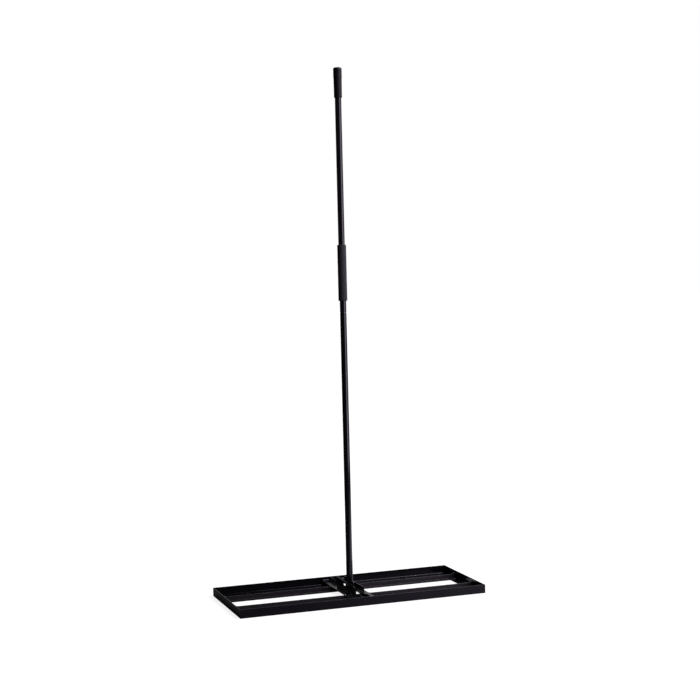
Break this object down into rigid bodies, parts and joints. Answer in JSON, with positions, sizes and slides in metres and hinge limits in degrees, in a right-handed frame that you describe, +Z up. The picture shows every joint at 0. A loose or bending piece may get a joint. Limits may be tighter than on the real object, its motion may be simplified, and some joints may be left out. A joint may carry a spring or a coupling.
{
  "type": "lawn leveling rake",
  "caption": "Lawn leveling rake: flat welded angle steel head with leveling bars, on a tilting screw-together steel pole with a foam sleeve and a rubber end grip.",
  "frame": {"origin": "middle of the ground rectangle under the head, on the ground the head rests on", "axes": "+X runs along the head to the right as seen from the front, +Y to the back across the head, +Z up along the upright pole"},
  "size_m": [1, 0.412, 2.0721],
  "materials": {
    "head_coat": "semi-gloss black powder coat",
    "pole_coat": "smooth semi-gloss black powder coat",
    "zinc": "bright zinc plate",
    "foam": "matt closed cell foam",
    "grip_rubber": "satin moulded rubber"
  },
  "bodies": {
    "head": {"front_frame_angle": "head_coat", "rear_frame_angle": "head_coat", "left_frame_angle": "head_coat", "right_frame_angle": "head_coat", "front_leveling_bar": "head_coat", "rear_leveling_bar": "head_coat", "left_bracket_angle": "head_coat", "right_bracket_angle": "head_coat", "pivot_bolt": "zinc", "pivot_lock_nut": "zinc", "left_bolt_washer": "zinc", "right_bolt_washer": "zinc", "left_pivot_spacer": "zinc", "right_pivot_spacer": "zinc"},
    "pole": {"pole_stub": "pole_coat", "pivot_sleeve": "zinc", "lower_joint_socket": "zinc", "lower_joint_stud": "zinc", "lower_tube": "pole_coat", "upper_joint_socket": "zinc", "upper_joint_stud": "zinc", "upper_tube": "pole_coat", "foam_grip": "foam", "end_grip": "grip_rubber"}
  },
  "joints": [
    {"name": "pole_tilt", "type": "hinge", "parent": "head", "child": "pole", "pos_m": [0.006, 0, 0.0395], "axis": [1, 0, 0], "range_deg": [-85, 85]}
  ]
}
